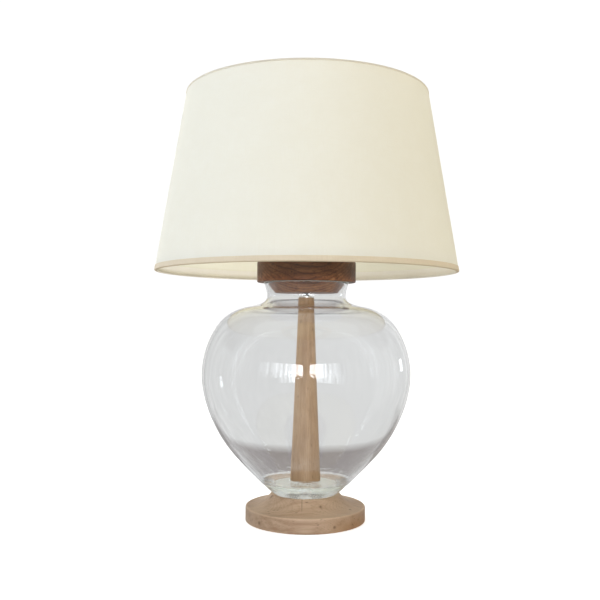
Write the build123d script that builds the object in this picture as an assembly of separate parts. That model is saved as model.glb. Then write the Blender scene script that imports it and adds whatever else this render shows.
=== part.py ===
from build123d import *
import os
from math import atan2, cos, degrees, pi, radians, sin

# Table lamp: a turned wood foot, a clear glass vase, a turned wood stem inside it, a wood cap
# in the vase's neck, and above them an E27 lampholder, a wire shade carrier and a fabric shade.
# Millimetres, +Z up, the origin on the ground under the lamp's axis. Everything is clamped on
# one length of M10 x 1 lamp tube that stands on that axis. -Y is the lamp's front.

# ---- driving dimensions --------------------------------------------------------------------
BASE_R = 98.5            # outer radius of the wood foot
BASE_EDGE_Z = 25.0       # top of its vertical edge
SEAT_R = 57.0            # flat seat that the glass stands on
SEAT_Z = 44.3
FELT_T = 1.2             # felt under the foot
FELT_R = 94.0

GLASS_WALL = 4.0
GLASS_FOOT_R = 51.7      # where the outer wall would meet the seat
GLASS_BELLY = (171.9, 236.5)
GLASS_RIM = (70.0, 391.2)
GLASS_FLOOR_Z = 66.0     # inner floor; the bottom is thick
GLASS_HOLE_R = 7.0

STEM_Z = (66.8, 365.0)
STEM_R = (25.0, 18.5, 13.0)      # at the foot, halfway, at the top
STEM_NUT_R = 11.9
STEM_NUT_T = 3.7

CAP_R = 82.0             # wood cap on the vase's neck
CAP_Z = (391.8, 426.0)
PLUG_R = (52.0, 66.0)    # its tapered plug, bottom and top
PLUG_Z = 374.5

TUBE_R = 5.0             # M10 x 1 lamp tube, 8 mm bore
TUBE_BORE_R = 4.0
TUBE_Z = (6.0, 461.5)

HOLDER_Z = 455.0         # underside of the lampholder's neck
HOLDER_SPLIT_Z = 478.0   # its lower cap ends, its threaded body starts
HOLDER_TOP_Z = 517.0
HOLDER_R = 19.5
FOOT_RING_Z = 487.55     # where the shade carrier's foot ring is clamped
FOOT_RING_T = 2.0
CLAMP_GAP = 0.05         # play on each side of the foot ring

BULB_Z = 488.3           # tip of the bulb's contact
BULB_R = 30.0
BULB_CENTRE_Z = 564.0
BULB_GLASS_T = 0.8
BULB_LIFT = 30.0         # travel that takes the bulb out of its socket

SWITCH_Z = 468.0
SWITCH_R = 3.0
SWITCH_TRAVEL = 6.0

WIRE_R = 1.6             # steel wire of the carrier
CARRIER_ARM_R = 47.6     # where its arms stand upright
CARRIER_RING_Z = 660.0
CARRIER_TIP_Z = 671.0

SHADE_BOTTOM = (250.0, 409.5)    # outer radius and height of the shade's lower edge
SHADE_TOP = (200.0, 702.6)
TRIM_T = 0.6             # edge tape
FABRIC_T = 0.8
LINER_T = 0.6
SHADE_WIRE_R = 1.45
SHADE_INNER_RING = (51.4, 663.5)
SPOKES = 3
SPOKE_START = 90.0       # azimuth of the first spoke

SHADE_SLANT = ((SHADE_BOTTOM[0] - SHADE_TOP[0]) ** 2 + (SHADE_TOP[1] - SHADE_BOTTOM[1]) ** 2) ** 0.5
SHADE_TAPER = atan2(SHADE_BOTTOM[0] - SHADE_TOP[0], SHADE_TOP[1] - SHADE_BOTTOM[1])


# ---- helpers -------------------------------------------------------------------------------
def outline(*corners):
    """Closed outline of (radius, height) corners; a third number rounds that corner."""
    face = make_face(Polyline(*[corner[:2] for corner in corners], close=True))
    for radius, height, rounding in [corner for corner in corners if len(corner) == 3]:
        vertex = face.vertices().sort_by_distance((radius, height))[0]
        face = fillet(vertex, rounding)
    return face


def turned(face, arc=360):
    """Revolve an outline drawn in the radius-height plane about the lamp's axis."""
    return revolve(Plane.XZ * face, Axis.Z, arc)


def disc(radius, bottom, top, hole=0.0):
    """Flat round piece, with an optional hole on the axis."""
    piece = Pos(0, 0, bottom) * Cylinder(radius, top - bottom, align=(Align.CENTER, Align.CENTER, Align.MIN))
    if hole:
        piece -= Pos(0, 0, bottom) * Cylinder(hole, top - bottom, align=(Align.CENTER, Align.CENTER, Align.MIN))
    return piece


def hex_nut(across_flats, bottom, top, hole):
    """Hexagonal nut with its corners turned down at both ends."""
    height = top - bottom
    corner_r = across_flats / 2 / cos(pi / 6)
    prism = Pos(0, 0, bottom) * extrude(RegularPolygon(corner_r, 6), height)
    dome = turned(outline(
        (0, bottom), (across_flats / 2, bottom), (corner_r + 0.2, bottom + 1.0),
        (corner_r + 0.2, top - 1.0), (across_flats / 2, top), (0, top)))
    return (prism & dome) - disc(hole, bottom, top)


def ring_of_wire(radius, height, wire_r):
    """Closed ring of round wire about the axis."""
    return Pos(0, 0, height) * Torus(radius, wire_r)


def bent_wire(points, bends, wire_r):
    """Round wire along straight runs in the radius-height plane, joined by tangent arcs."""
    path = Plane.XZ * FilletPolyline(*points, radius=bends)
    start = Plane(origin=path @ 0, z_dir=path % 0)
    return sweep(start * Circle(wire_r), path=path)


def around(piece, count, start=0.0):
    """Copies of a piece, evenly spaced about the axis."""
    return [Rot(0, 0, start + 360 / count * step) * piece for step in range(count)]


def group(pieces):
    """Separate solids that share one node."""
    return Compound(children=pieces)


def thread_wave(low, high, bottom, pitch, turns):
    """Points up a thread's flank: alternately at its root and its crest."""
    points = []
    for turn in range(turns):
        foot = bottom + turn * pitch
        points += [(low, foot), (low, foot + 0.12 * pitch), (high, foot + 0.42 * pitch),
                   (high, foot + 0.58 * pitch), (low, foot + 0.88 * pitch)]
    return points + [(low, bottom + turns * pitch)]


# ---- wood foot -----------------------------------------------------------------------------
RECESS_R = 20.0          # room for the washer and nut under the foot
RECESS_Z = 16.0
CORD_HOLE_Z = 10.5
CORD_HOLE_R = 5.0
CORD_BORE_R = 3.3        # clearance for a 6 mm lamp cord
BUSH_LENGTH = 14.0
BUSH_FLANGE_R = 7.0
BUSH_FLANGE_T = 1.8
GASKET_R = 23.0
FOOT_GASKET_T = 1.0


def base_felt():
    return disc(FELT_R, 0, FELT_T)


def base_disc():
    cove_start = (SEAT_R, SEAT_Z - 0.8)
    cove_end = (BASE_R - 3.0, BASE_EDGE_Z)
    edges = [
        Line((TUBE_R + 0.3, FELT_T), (BASE_R - 1.0, FELT_T)),
        Line((BASE_R - 1.0, FELT_T), (BASE_R, FELT_T + 1.0)),
        Line((BASE_R, FELT_T + 1.0), (BASE_R, BASE_EDGE_Z - 3.0)),
        TangentArc((BASE_R, BASE_EDGE_Z - 3.0), cove_end, tangent=(0, 1)),
        TangentArc(cove_end, cove_start, tangent=(-1, 0)),
        Line(cove_start, (SEAT_R - 0.8, SEAT_Z)),
        Line((SEAT_R - 0.8, SEAT_Z), (TUBE_R + 0.3, SEAT_Z)),
        Line((TUBE_R + 0.3, SEAT_Z), (TUBE_R + 0.3, FELT_T)),
    ]
    body = turned(make_face(edges))
    body -= disc(RECESS_R, FELT_T, RECESS_Z)
    body -= disc(GASKET_R + 0.1, SEAT_Z - FOOT_GASKET_T, SEAT_Z)
    body -= cord_way(CORD_HOLE_R, 0, BASE_R + 5)
    return body


def cord_way(radius, near, far):
    """Round bar along the cord's way in, from the lamp's axis to the rear."""
    bar = Cylinder(radius, far - near, align=(Align.CENTER, Align.CENTER, Align.MIN))
    return Pos(0, near, CORD_HOLE_Z) * Rot(-90, 0, 0) * bar


def cord_bush():
    """Flanged plastic bush that lines the cord's hole at the rear of the foot."""
    sleeve = cord_way(CORD_HOLE_R - 0.05, BASE_R - BUSH_LENGTH, BASE_R + 1.0)
    flange = cord_way(BUSH_FLANGE_R, BASE_R - 1.0, BASE_R + BUSH_FLANGE_T)
    flange -= Cylinder(BASE_R, 4 * CORD_HOLE_Z)
    return sleeve + flange - cord_way(CORD_BORE_R, 0, BASE_R + 5)


def base_washer():
    return disc(14.0, RECESS_Z - 1.8, RECESS_Z, TUBE_R + 0.2)


def base_nut():
    return hex_nut(16.0, RECESS_Z - 6.8, RECESS_Z - 1.8, TUBE_R + 0.03)


def foot_gasket():
    return disc(GASKET_R, SEAT_Z - FOOT_GASKET_T, SEAT_Z, GLASS_HOLE_R)


# ---- glass vase ----------------------------------------------------------------------------
SHOULDER = (100.0, 350.3)        # where the belly turns over into the neck
SHOULDER_TANGENT = (-1.0, 0.22)


def vase_wall():
    """Outer wall of the vase, from the seat up: the belly, then the neck."""
    belly = Spline(
        (GLASS_FOOT_R, SEAT_Z), (92.3, 81.9), (127.5, 121.0), (155.9, 169.5), GLASS_BELLY,
        (160.5, 296.0), (132.4, 335.2), SHOULDER,
        tangents=[(1.3, 1.0), SHOULDER_TANGENT])
    neck = Spline(
        SHOULDER, (79.0, 355.2), (67.0, 363.0), (65.4, 371.5), GLASS_RIM,
        tangents=[SHOULDER_TANGENT, (0.2, 1.0)])
    return belly, neck


def inset(curve, distance, steps):
    """Points along a curve, moved towards the axis side of it."""
    points = []
    for step in range(steps + 1):
        place = curve @ (step / steps)
        along = curve % (step / steps)
        points.append((place.X - along.Y * distance, place.Y + along.X * distance))
    return points


def glass_vase():
    belly, neck = vase_wall()
    top = GLASS_RIM[1]
    outside = turned(make_face([
        Line((0, SEAT_Z), (GLASS_FOOT_R, SEAT_Z)), belly, neck,
        Line(GLASS_RIM, (0, top)), Line((0, top), (0, SEAT_Z))]))
    inner_belly = Spline(*inset(belly, GLASS_WALL, 9))
    inner_neck = Spline(*inset(neck, GLASS_WALL - 0.4, 7)[1:])
    low = inner_belly @ 0
    join = Line(inner_belly @ 1, inner_neck @ 0)
    high = inner_neck @ 1
    inside = turned(make_face([
        Line((0, low.Y), (low.X, low.Y)), inner_belly, join, inner_neck,
        Line((high.X, high.Y), (high.X, top + 5)), Line((high.X, top + 5), (0, top + 5)),
        Line((0, top + 5), (0, low.Y))]))
    inside &= disc(200, GLASS_FLOOR_Z, top + 5)
    inside = fillet(inside.edges().group_by(Axis.Z)[0], 9.0)
    vase = outside - inside - disc(GLASS_HOLE_R, 0, GLASS_FLOOR_Z + 5)
    rim = vase.edges().group_by(Axis.Z)[-1]
    vase = fillet(rim, 1.5)
    foot = vase.edges().filter_by(lambda edge: abs(edge.center().Z - SEAT_Z) < 0.1).sort_by(SortBy.LENGTH)[-1]
    return fillet(foot, 6.0)


def stem_gasket():
    return disc(GASKET_R, GLASS_FLOOR_Z, STEM_Z[0], TUBE_R + 0.5)


# ---- stem inside the vase ------------------------------------------------------------------
def stem():
    low, high = STEM_Z
    foot_r, middle_r, head_r = STEM_R
    bore = TUBE_R + 0.5
    edge = 0.8
    side = ThreePointArc((foot_r, low + edge), (middle_r, (low + high) / 2), (head_r, high - edge))
    return turned(make_face([
        Line((bore, low), (foot_r - edge, low)), Line((foot_r - edge, low), (foot_r, low + edge)), side,
        Line((head_r, high - edge), (head_r - edge, high)), Line((head_r - edge, high), (bore, high)),
        Line((bore, high), (bore, low))]))


def stem_nut():
    low = STEM_Z[1]
    return turned(outline(
        (TUBE_R + 0.03, low), (STEM_NUT_R, low, 0.5), (STEM_NUT_R, low + STEM_NUT_T, 0.9),
        (TUBE_R + 0.03, low + STEM_NUT_T)))


def threaded_tube():
    low, high = TUBE_Z
    return turned(outline(
        (TUBE_BORE_R, low), (TUBE_R - 0.4, low), (TUBE_R, low + 0.4),
        (TUBE_R, high - 0.4), (TUBE_R - 0.4, high), (TUBE_BORE_R, high)))


# ---- cap on the vase's neck ----------------------------------------------------------------
def neck_gasket():
    return disc(71.0, GLASS_RIM[1], CAP_Z[0], PLUG_R[1] + 0.2)


def neck_cap():
    low, high = CAP_Z
    bore = TUBE_R + 0.3
    return turned(outline(
        (bore, PLUG_Z), (PLUG_R[0], PLUG_Z, 1.5), (PLUG_R[1], low), (CAP_R, low, 2.0),
        (CAP_R, high, 3.0), (bore, high)))


CAP_WASHER_T = 2.0
CAP_NUT_T = 5.0


def cap_washer():
    return disc(16.0, CAP_Z[1], CAP_Z[1] + CAP_WASHER_T, TUBE_R + 0.2)


def cap_nut():
    low = CAP_Z[1] + CAP_WASHER_T
    return hex_nut(16.0, low, low + CAP_NUT_T, TUBE_R + 0.03)


def riser_sleeve():
    """Short tube over the lamp tube that holds the lampholder up off the cap nut."""
    return disc(7.0, CAP_Z[1] + CAP_WASHER_T + CAP_NUT_T, HOLDER_Z, TUBE_R + 0.3)


# ---- lampholder ----------------------------------------------------------------------------
SHELL_Z = 486.0          # lower end of the screw shell
SHELL_PITCH = 3.6
SHELL_TURNS = 7
SHELL_R = (13.5, 14.15)  # crest and root of its thread, inside
SHELL_T = 0.4
INSERT_Z = (472.5, 485.5)
TERMINAL_Y = 10.0
GRUB_R = 1.6
GRUB_Z = HOLDER_Z + 2.4
BODY_PITCH = 2.5
BODY_ROOT_R = 19.0


def holder_cap():
    """Lower half: the threaded neck, and the walls that the switch bar passes through."""
    shell = turned(outline(
        (TUBE_R + 0.03, HOLDER_Z), (8.5, HOLDER_Z, 0.8), (8.5, HOLDER_Z + 4.8, 1.5),
        (HOLDER_R, HOLDER_Z + 11.5, 5.0), (HOLDER_R, HOLDER_SPLIT_Z),
        (HOLDER_R - 2, HOLDER_SPLIT_Z), (HOLDER_R - 2, HOLDER_Z + 12.5, 3.0),
        (8.0, HOLDER_Z + 7.0), (TUBE_R + 0.03, HOLDER_Z + 7.0)))
    switch_way = Pos(0, 0, SWITCH_Z) * Rot(0, 90, 0) * Cylinder(SWITCH_R + 0.08, 3 * HOLDER_R)
    grub_way = Pos(0, -7, GRUB_Z) * Rot(90, 0, 0) * Cylinder(GRUB_R + 0.03, 6)
    return shell - switch_way - grub_way


def holder_grub_screw():
    """Screw in the neck that keeps the lampholder from turning on the tube."""
    screw = Pos(0, -6.75, GRUB_Z) * Rot(90, 0, 0) * Cylinder(GRUB_R, 3.3)
    return screw - Pos(0, -8.2, GRUB_Z) * Box(0.6, 1.2, 4)


def holder_insert():
    """Ceramic block that carries the contacts and the two terminals."""
    low, high = INSERT_Z
    block = turned(outline(
        (0, low), (HOLDER_R - 2.2, low), (HOLDER_R - 2.2, HOLDER_SPLIT_Z), (14.4, HOLDER_SPLIT_Z),
        (14.4, high, 0.6), (0, high)))
    for side in (-1, 1):
        block -= Pos(0, side * TERMINAL_Y, low + 2.5) * Cylinder(1.55, 5)
    return block


def terminal_screws():
    """Two pan-head terminal screws, heads down."""
    screws = []
    for side in (-1, 1):
        head = Pos(0, side * TERMINAL_Y, INSERT_Z[0] - 1.2) * Cylinder(2.8, 2.4)
        head -= Pos(0, side * TERMINAL_Y, INSERT_Z[0] - 2.4) * Box(6, 0.7, 1.6)
        screws.append(head + Pos(0, side * TERMINAL_Y, INSERT_Z[0] + 2.4) * Cylinder(1.5, 4.8))
    return group(screws)


def centre_contact():
    """Springy leaf on the ceramic block that the bulb's tip presses on."""
    low = INSERT_Z[1]
    leaf = make_face(Polyline(
        (-11.0, low), (-4.5, low), (-1.5, 487.6), (4.5, 487.6), (4.5, 488.0), (-1.7, 488.0),
        (-4.7, low + 0.4), (-11.0, low + 0.4), close=True))
    return extrude(Plane.YZ * leaf, 2.5, both=True)


def thread_tube(inner, thickness, bottom, pitch, turns):
    """Thin metal tube rolled into a round thread."""
    inside = thread_wave(inner[0], inner[1], bottom, pitch, turns)
    outside = [(radius + thickness, height) for radius, height in inside]
    return turned(make_face(Polyline(*inside, *reversed(outside), close=True)))


def screw_shell():
    shell = thread_tube(SHELL_R, SHELL_T, SHELL_Z, SHELL_PITCH, SHELL_TURNS)
    tab = disc(SHELL_R[0] + SHELL_T, SHELL_Z, SHELL_Z + 0.5, 12.2)
    return shell + tab


def holder_body():
    """Upper half: the sleeve round the screw shell, threaded outside for the clamp rings."""
    inner = SHELL_R[1] + SHELL_T + 0.25
    turns = int((HOLDER_TOP_Z - 4 - HOLDER_SPLIT_Z - 4) / BODY_PITCH)
    ridges = thread_wave(BODY_ROOT_R, BODY_ROOT_R + 0.6, HOLDER_SPLIT_Z + 4, BODY_PITCH, turns)
    return turned(make_face(Polyline(
        (inner, HOLDER_SPLIT_Z), (HOLDER_R, HOLDER_SPLIT_Z), (HOLDER_R, HOLDER_SPLIT_Z + 3.5),
        *ridges, (BODY_ROOT_R, HOLDER_TOP_Z - 1.2), (BODY_ROOT_R - 1.2, HOLDER_TOP_Z),
        (inner + 0.6, HOLDER_TOP_Z), (inner, HOLDER_TOP_Z - 0.6), close=True)))


def clamp_ring(bottom, top):
    """Knurled ring nut that screws along the lampholder's body."""
    ring = turned(outline(
        (BODY_ROOT_R + 0.7, bottom), (26.0, bottom, 0.6), (26.0, top, 0.6), (BODY_ROOT_R + 0.7, top)))
    notch = Pos(26.4, 0, (bottom + top) / 2) * Cylinder(1.3, top - bottom + 1)
    return ring - around(notch, 18)


CLAMP_RING_T = 3.5


def lower_clamp_ring():
    top = FOOT_RING_Z - CLAMP_GAP
    return clamp_ring(top - CLAMP_RING_T, top)


def upper_clamp_ring():
    low = FOOT_RING_Z + FOOT_RING_T + CLAMP_GAP
    return clamp_ring(low, low + CLAMP_RING_T)


def switch_bar():
    """Push-through bar: pushed from the right it slides to the left, and back."""
    reach = HOLDER_R + 3.4
    left, right = -reach, reach + SWITCH_TRAVEL
    bar = Pos((left + right) / 2, 0, SWITCH_Z) * Rot(0, 90, 0) * Cylinder(SWITCH_R, right - left)
    bar = fillet(bar.edges(), 1.2)
    for side in (-1, 1):
        bar -= Pos(2, side * 3.0, SWITCH_Z) * Box(16, 2.4, 8)
    return bar


# ---- shade carrier -------------------------------------------------------------------------
ARM_FOOT_R = 29.5


def carrier_foot_ring():
    return disc(31.2, FOOT_RING_Z, FOOT_RING_Z + FOOT_RING_T, 20.1)


def carrier_arms():
    foot = FOOT_RING_Z + FOOT_RING_T
    arm = bent_wire(
        [(ARM_FOOT_R, foot), (ARM_FOOT_R, foot + 12), (CARRIER_ARM_R, foot + 66),
         (CARRIER_ARM_R, CARRIER_TIP_Z)], [20.0, 45.0], WIRE_R)
    arm = fillet(arm.edges().group_by(Axis.Z)[-1], 1.2)
    return group(around(arm, SPOKES, SPOKE_START + 180 / SPOKES))


def carrier_top_ring():
    return ring_of_wire(CARRIER_ARM_R + 2 * WIRE_R - 0.2, CARRIER_RING_Z, WIRE_R)


# ---- bulb ----------------------------------------------------------------------------------
BULB_CAP_R = (12.4, 13.2)        # root and crest of its thread
BULB_COLLAR_Z = 514.8
BULB_NECK_R = 12.7
FILAMENTS = 4


def bulb_outline(inset_by):
    """Half section of the bulb's glass, solid, smaller all round by inset_by."""
    neck = BULB_NECK_R - inset_by
    equator = BULB_R - inset_by
    foot = 510.6
    side = Spline(
        (neck, 515.0), (17.6 - inset_by, 531.0), (25.8 - inset_by, 548.0), (equator, BULB_CENTRE_Z),
        tangents=[(0, 1), (0, 1)])
    top = BULB_CENTRE_Z + equator
    dome = ThreePointArc(
        (equator, BULB_CENTRE_Z),
        (equator * cos(pi / 4), BULB_CENTRE_Z + equator * sin(pi / 4)), (0, top))
    return make_face([
        Line((0, foot), (neck, foot)), Line((neck, foot), (neck, 515.0)), side, dome,
        Line((0, top), (0, foot))])


def bulb_globe():
    return turned(bulb_outline(0)) - turned(bulb_outline(BULB_GLASS_T))


def bulb_cap():
    low = 494.0
    wave = thread_wave(BULB_CAP_R[0] - 0.4, BULB_CAP_R[1] - 0.4, low + 1.2, SHELL_PITCH, 4)
    inside = [(BULB_CAP_R[0] - 0.8, low), *wave, (BULB_NECK_R + 0.1, 510.5),
              (BULB_NECK_R + 0.1, BULB_COLLAR_Z)]
    outside = [(radius + 0.4, height) for radius, height in inside]
    return turned(make_face(Polyline(*inside, *reversed(outside), close=True)))


def bulb_insulator():
    return turned(outline(
        (0, BULB_Z + 2.0), (5.2, BULB_Z + 2.0, 0.4), (11.4, 493.6, 0.5), (11.4, 495.4), (0, 495.4)))


def bulb_contact():
    return turned(outline(
        (0, BULB_Z), (2.6, BULB_Z, 0.8), (4.4, BULB_Z + 1.2, 0.3), (4.4, BULB_Z + 2.0), (0, BULB_Z + 2.0)))


def bulb_driver():
    """Small round driver board in the bulb's cap, with its capacitor."""
    return disc(9.5, 499.0, 500.6) + Pos(2.5, 0, 504.1) * Cylinder(4.0, 7.0)


def bulb_stem():
    """Glass mount inside the bulb that holds the filaments' wires."""
    return turned(outline(
        (0, 510.0), (11.4, 510.0), (11.4, 511.2, 0.5), (4.0, 519.0, 4.0), (3.0, 527.0, 4.0),
        (3.0, 538.0), (4.6, 541.0, 0.8), (4.6, 543.5, 0.8), (0, 544.5)))


def filament_ends(azimuth):
    """Lower and upper end of one filament."""
    turn = radians(azimuth)
    lower = (5.5 * cos(turn), 5.5 * sin(turn), 549.0)
    upper = (10.5 * cos(turn), 10.5 * sin(turn), 583.0)
    return lower, upper


def rod_between(lower, upper, radius):
    line = Line(lower, upper)
    return sweep(Plane(origin=lower, z_dir=line % 0) * Circle(radius), path=line)


def bulb_filaments():
    rods = []
    for step in range(FILAMENTS):
        lower, upper = filament_ends(45 + 90 * step)
        rods.append(rod_between(lower, upper, 1.0))
    return group(rods)


def bulb_wires():
    """Fine wires from the glass mount to each filament's lower end, and the one that joins the tops."""
    wires = []
    for step in range(FILAMENTS):
        lower, upper = filament_ends(45 + 90 * step)
        turn = radians(45 + 90 * step)
        root = (3.0 * cos(turn), 3.0 * sin(turn), 544.2)
        wires.append(rod_between(root, lower, 0.35))
    return group(wires)


# ---- shade ---------------------------------------------------------------------------------
def from_bottom(depth, up):
    """Point of the shade's wall: depth inwards from its outer face, up along it from the lower edge."""
    return (SHADE_BOTTOM[0] - up * sin(SHADE_TAPER) - depth * cos(SHADE_TAPER),
            SHADE_BOTTOM[1] + up * cos(SHADE_TAPER) - depth * sin(SHADE_TAPER))


def from_top(depth, down):
    """The same, measured down from the upper edge."""
    return from_bottom(depth, SHADE_SLANT - down)


FABRIC_DEPTH = TRIM_T
LINER_DEPTH = FABRIC_DEPTH + FABRIC_T
WIRE_DEPTH = LINER_DEPTH + LINER_T
WIRE_CENTRE = WIRE_DEPTH + SHADE_WIRE_R + 0.05
SPOKE_WIRE_R = 1.35
BOTTOM_TRIM_OUT = 8.0
TOP_TRIM_OUT = 3.4
TRIM_IN = 18.0


def wall_band(depth, thickness, up_from, up_to, arc=360):
    """Conical layer of the shade's wall."""
    corners = [from_bottom(depth, up_from), from_bottom(depth, up_to),
               from_bottom(depth + thickness, up_to), from_bottom(depth + thickness, up_from)]
    return turned(make_face(Polyline(*corners, close=True)), arc)


def folded_trim(place, outer_leg):
    """Edge tape folded over the wall's edge and its wire ring; place maps (depth, along)."""
    inner = WIRE_DEPTH + 2 * SHADE_WIRE_R + 0.1
    corners = [
        (0, 0), (0, outer_leg), (TRIM_T, outer_leg), (TRIM_T, TRIM_T), (inner, TRIM_T),
        (inner, 3.6), (WIRE_DEPTH, 8.0), (WIRE_DEPTH, TRIM_IN), (WIRE_DEPTH + TRIM_T, TRIM_IN),
        (WIRE_DEPTH + TRIM_T, 8.3), (inner + TRIM_T, 3.9), (inner + TRIM_T, 0)]
    return turned(make_face(Polyline(*[place(*corner) for corner in corners], close=True)))


def shade_fabric():
    return wall_band(FABRIC_DEPTH, FABRIC_T, TRIM_T, SHADE_SLANT - TRIM_T)


def shade_liner():
    return wall_band(LINER_DEPTH, LINER_T, TRIM_T, SHADE_SLANT - TRIM_T)


def shade_seam():
    """Strip where the fabric laps over itself, down the back."""
    half_angle = degrees(6.0 / SHADE_BOTTOM[0])
    lap = wall_band(0.0, FABRIC_DEPTH, BOTTOM_TRIM_OUT + 0.4, SHADE_SLANT - TOP_TRIM_OUT - 0.4, 2 * half_angle)
    return Rot(0, 0, 90 - half_angle) * lap


def bottom_trim():
    return folded_trim(from_bottom, BOTTOM_TRIM_OUT)


def top_trim():
    return folded_trim(from_top, TOP_TRIM_OUT) - spokes(SPOKE_WIRE_R + 0.1)


def edge_wire(place):
    radius, height = place(WIRE_CENTRE, TRIM_T + SHADE_WIRE_R + 0.05)
    return ring_of_wire(radius, height, SHADE_WIRE_R)


def shade_bottom_ring():
    return edge_wire(from_bottom)


def shade_top_ring():
    return edge_wire(from_top)


def shade_inner_ring():
    return ring_of_wire(SHADE_INNER_RING[0], SHADE_INNER_RING[1], WIRE_R)


def spokes(wire_r):
    """Sloping wires from the inner ring out to the top ring, through notches in the edge tape."""
    ring_r, ring_z = SHADE_INNER_RING
    top_r, top_z = from_top(WIRE_CENTRE, TRIM_T + SHADE_WIRE_R + 0.05)
    spoke = bent_wire(
        [(ring_r + WIRE_R - 0.3, ring_z), (ring_r + 16, ring_z), (top_r - 22, top_z),
         (top_r - SHADE_WIRE_R + 0.2, top_z)], [14.0, 14.0], wire_r)
    return around(spoke, SPOKES, SPOKE_START)


def shade_spokes():
    return group(spokes(SPOKE_WIRE_R))


# ---- write one STEP for each piece ---------------------------------------------------------
PIECES = [
    base_felt, base_disc, cord_bush, base_washer, base_nut, foot_gasket, glass_vase, stem_gasket,
    stem, stem_nut, threaded_tube, neck_gasket, neck_cap, cap_washer, cap_nut, riser_sleeve,
    holder_cap, holder_grub_screw, holder_insert, terminal_screws, centre_contact, screw_shell,
    holder_body, lower_clamp_ring, upper_clamp_ring, switch_bar, carrier_foot_ring, carrier_arms,
    carrier_top_ring, bulb_globe, bulb_cap, bulb_insulator, bulb_contact, bulb_driver, bulb_stem,
    bulb_filaments, bulb_wires, shade_fabric, shade_liner, shade_seam, bottom_trim, top_trim,
    shade_bottom_ring, shade_top_ring, shade_inner_ring, shade_spokes,
]

os.makedirs("parts", exist_ok=True)
for piece in PIECES:
    export_step(piece(), "parts/" + piece.__name__ + ".step")
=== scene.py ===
from math import atan2, ceil, cos, hypot, pi, radians, sin, tan

import bpy
import numpy as np
from mathutils import Matrix, Vector
from mathutils import noise as field


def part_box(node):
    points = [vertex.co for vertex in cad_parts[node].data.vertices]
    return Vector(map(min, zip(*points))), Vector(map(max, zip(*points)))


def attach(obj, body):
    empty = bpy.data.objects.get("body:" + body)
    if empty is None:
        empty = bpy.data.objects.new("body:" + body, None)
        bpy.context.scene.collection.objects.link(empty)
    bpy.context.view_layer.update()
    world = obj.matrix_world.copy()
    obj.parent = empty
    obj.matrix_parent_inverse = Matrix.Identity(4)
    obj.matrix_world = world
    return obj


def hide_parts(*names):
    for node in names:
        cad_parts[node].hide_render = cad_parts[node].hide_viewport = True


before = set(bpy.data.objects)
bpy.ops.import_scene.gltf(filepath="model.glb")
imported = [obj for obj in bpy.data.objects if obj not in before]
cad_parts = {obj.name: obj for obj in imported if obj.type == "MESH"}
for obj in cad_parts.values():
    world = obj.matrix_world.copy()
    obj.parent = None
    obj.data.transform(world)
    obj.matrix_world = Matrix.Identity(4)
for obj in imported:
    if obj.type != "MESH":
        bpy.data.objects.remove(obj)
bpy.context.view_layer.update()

# Table lamp: wood foot, clear glass vase, wood stem inside it, wood cap in its neck, and a cream
# fabric shade on a wire carrier. Metres, +Z up, -Y is the front, as in the CAD.

MM = 0.001

# ---- driving dimensions, from the CAD's own boxes ------------------------------------------
BASE_LOW, BASE_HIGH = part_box("base_disc")
VASE_LOW, VASE_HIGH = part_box("glass_vase")
STEM_LOW, STEM_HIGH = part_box("stem")
CAP_LOW, CAP_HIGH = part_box("neck_cap")
TUBE_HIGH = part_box("threaded_tube")[1]
GASKET_LOW, GASKET_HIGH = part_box("foot_gasket")
BULB_LOW, BULB_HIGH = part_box("bulb_globe")
TRIM_LOW, TRIM_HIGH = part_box("bottom_trim")
SHADE_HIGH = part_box("top_trim")[1]

BORE_R = TUBE_HIGH.x + 0.3 * MM
GASKET_R = GASKET_HIGH.x + 0.1 * MM
GASKET_T = GASKET_HIGH.z - GASKET_LOW.z
AROUND = 192             # steps round a turned piece
MISSED_IN_MIRROR = 0.6   # share of the shade's cloth that reflections don't see
WHITE = (1, 1, 1, 1)
# Tints that paint light on the wood: the first paints warm shade on one side of the foot, the second paints
# light on the cap's plug.
WARM_SHADE_TINT = (0.86, 0.72, 0.56, 1)     # tints that multiply the wood's colour
LIT_TINT = (2.9, 2.8, 2.7, 1)

SHADE_FOOT = (TRIM_HIGH.x, TRIM_LOW.z)             # outer radius and height of the lower edge
SHADE_HEAD = (SHADE_HIGH.x, SHADE_HIGH.z)
SHADE_SLANT = hypot(SHADE_FOOT[0] - SHADE_HEAD[0], SHADE_HEAD[1] - SHADE_FOOT[1])
SHADE_TAPER = atan2(SHADE_FOOT[0] - SHADE_HEAD[0], SHADE_HEAD[1] - SHADE_FOOT[1])


# ---- outlines ------------------------------------------------------------------------------
def rounded(corners, step=radians(15)):
    """Outline through (radius, height) corners; a third number rounds that corner to that radius."""
    points = []
    for index, corner in enumerate(corners):
        here = np.array(corner[:2], float)
        if len(corner) == 2:
            points.append(tuple(here))
            continue
        before = np.array(corners[index - 1][:2], float) - here
        after = np.array(corners[(index + 1) % len(corners)][:2], float) - here
        before /= np.linalg.norm(before)
        after /= np.linalg.norm(after)
        half = np.arccos(np.clip(before @ after, -1, 1)) / 2
        middle = (before + after) / np.linalg.norm(before + after)
        centre = here + middle * corner[2] / sin(half)
        start = here + before * corner[2] / tan(half) - centre
        finish = here + after * corner[2] / tan(half) - centre
        sweep = pi - 2 * half
        turn = np.sign(start[0] * finish[1] - start[1] * finish[0]) * sweep
        count = max(2, ceil(sweep / step))
        for number in range(count + 1):
            angle = turn * number / count
            x = centre[0] + start[0] * cos(angle) - start[1] * sin(angle)
            y = centre[1] + start[0] * sin(angle) + start[1] * cos(angle)
            points.append((x, y))
    return points


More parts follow.
